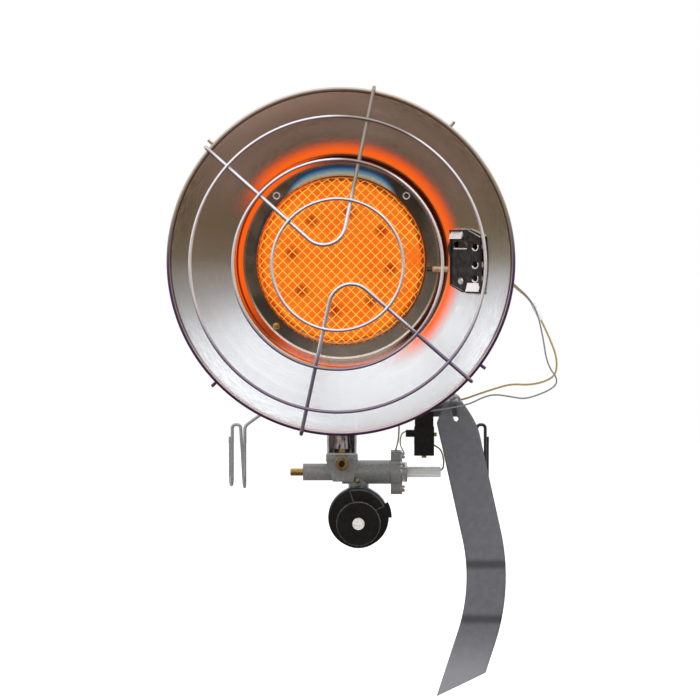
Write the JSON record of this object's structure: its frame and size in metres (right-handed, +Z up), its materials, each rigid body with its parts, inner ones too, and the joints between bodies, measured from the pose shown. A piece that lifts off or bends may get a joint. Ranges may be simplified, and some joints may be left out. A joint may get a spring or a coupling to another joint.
{
  "type": "tank top heater",
  "caption": "Radiant heater that screws onto a gas cylinder valve: polished dish, wire guard, glowing mesh burner, safety valve, regulator knob, tip-over switch and collar support wire.",
  "frame": {"origin": "on the axis of the tank nut, at the shoulder of its thread", "axes": "+X to the right seen from the front, +Y out of the tank nut towards the cylinder valve, +Z up; the dish faces -Y"},
  "size_m": [0.2981, 0.1824, 0.4708],
  "materials": {
    "polished_steel": "polished sheet",
    "guard_wire": "bright plated wire",
    "heat_tinted_steel": "heat tinted",
    "glowing_mesh": "red hot woven wire",
    "emitter_steel": "red hot perforated sheet",
    "bare_steel": "plain",
    "zinc_casting": "rough casting",
    "brass": "turned",
    "spring_steel": "drawn wire",
    "black_casting": "black satin paint",
    "black_plastic": "moulded",
    "silver_cap": "bright",
    "black_rubber": "moulded sheet",
    "clear_plastic": "clear tube",
    "copper_sheath": "heat browned",
    "dark_tip": "scaled",
    "grey_insulation": "braided",
    "tan_insulation": "braided",
    "white_sleeve": "heat sleeve",
    "brown_insulation": "plain",
    "tag_card": "bare coated card"
  },
  "bodies": {
    "heater": {"reflector_dish": "polished_steel", "rim_studs": "polished_steel", "guard_spoke_upper": "guard_wire", "guard_spoke_lower": "guard_wire", "guard_ring_outer": "guard_wire", "guard_ring_middle": "guard_wire", "guard_ring_inner": "guard_wire", "burner_flange_ring": "heat_tinted_steel", "burner_screws": "heat_tinted_steel", "burner_cup": "heat_tinted_steel", "venturi_tube": "heat_tinted_steel", "diffuser_plate": "heat_tinted_steel", "outer_mesh_screen": "glowing_mesh", "inner_emitter_screen": "emitter_steel", "screen_spacers": "emitter_steel", "mounting_bracket": "bare_steel", "bracket_screws": "bare_steel", "thermocouple_bracket": "bare_steel", "thermocouple_rivets": "bare_steel", "thermocouple_nuts": "bare_steel", "valve_end_plate": "bare_steel", "flange_screws": "bare_steel", "magnet_nut": "bare_steel", "diaphragm_plate": "bare_steel", "tip_switch_bracket": "bare_steel", "switch_screws": "bare_steel", "valve_body": "zinc_casting", "jet_orifice": "brass", "valve_plug": "brass", "outlet_nipple": "brass", "tank_nipple": "brass", "switch_terminals": "brass", "magnet_unit": "brass", "button_spring": "spring_steel", "valve_spring": "spring_steel", "regulator_spring": "spring_steel", "regulator_body": "black_casting", "regulator_bonnet": "black_casting", "tip_switch_case": "black_plastic", "tip_switch_cover": "black_plastic", "diaphragm": "black_rubber", "clear_sleeve": "clear_plastic", "thermocouple_sheath": "copper_sheath", "thermocouple_tip": "dark_tip", "lead_grey": "grey_insulation", "lead_tan": "tan_insulation", "lead_sleeve": "white_sleeve", "magnet_lead": "brown_insulation", "ground_lead": "brown_insulation", "earth_wire": "brown_insulation"},
    "button": {"push_pin": "brass"},
    "poppet": {"valve_poppet": "bare_steel"},
    "knob": {"regulator_knob": "black_plastic", "knob_cap": "silver_cap"},
    "cam": {"cam_follower": "bare_steel"},
    "tank_coupling": {"tank_nut": "brass", "handwheel": "black_plastic"},
    "collar_support": {"collar_support_wire": "guard_wire"},
    "pendulum": {"tip_switch_pendulum": "brass"},
    "tag": {"hang_tag": "tag_card"}
  },
  "joints": [
    {"name": "knob_turn", "type": "hinge", "parent": "heater", "child": "knob", "pos_m": [0, 0, 0], "axis": [0, -1, 0], "range_deg": [0, 100]},
    {"name": "cam_slide", "type": "slide", "parent": "heater", "child": "cam", "axis": [0, 1, 0], "range_m": [0, 0.003], "deforming": ["regulator_spring"]},
    {"name": "button_press", "type": "slide", "parent": "heater", "child": "button", "axis": [1, 0, 0], "range_m": [0, 0.005], "stiffness_N_per_m": 400, "deforming": ["button_spring"]},
    {"name": "poppet_slide", "type": "slide", "parent": "heater", "child": "poppet", "axis": [1, 0, 0], "range_m": [0, 0.005], "deforming": ["valve_spring"]},
    {"name": "tank_nut_spin", "type": "hinge", "parent": "heater", "child": "tank_coupling", "pos_m": [0, 0, 0], "axis": [0, 1, 0], "continuous": true},
    {"name": "support_swing", "type": "hinge", "parent": "heater", "child": "collar_support", "pos_m": [0, -0.004, 0.104], "axis": [1, 0, 0], "range_deg": [-20, 30]},
    {"name": "pendulum_swing", "type": "hinge", "parent": "heater", "child": "pendulum", "pos_m": [0.05095, -0.05, 0.0685], "axis": [0, -1, 0], "range_deg": [-15, 15]},
    {"name": "tag_swing", "type": "hinge", "parent": "heater", "child": "tag", "pos_m": [0.0733, -0.064, 0.0914], "axis": [0, -1, 0], "range_deg": [-20, 20]}
  ],
  "couplings": [
    {"joint": "cam_slide", "follows": "knob_turn", "m_per_rad": 0.001718},
    {"joint": "poppet_slide", "follows": "button_press", "ratio": 1}
  ]
}
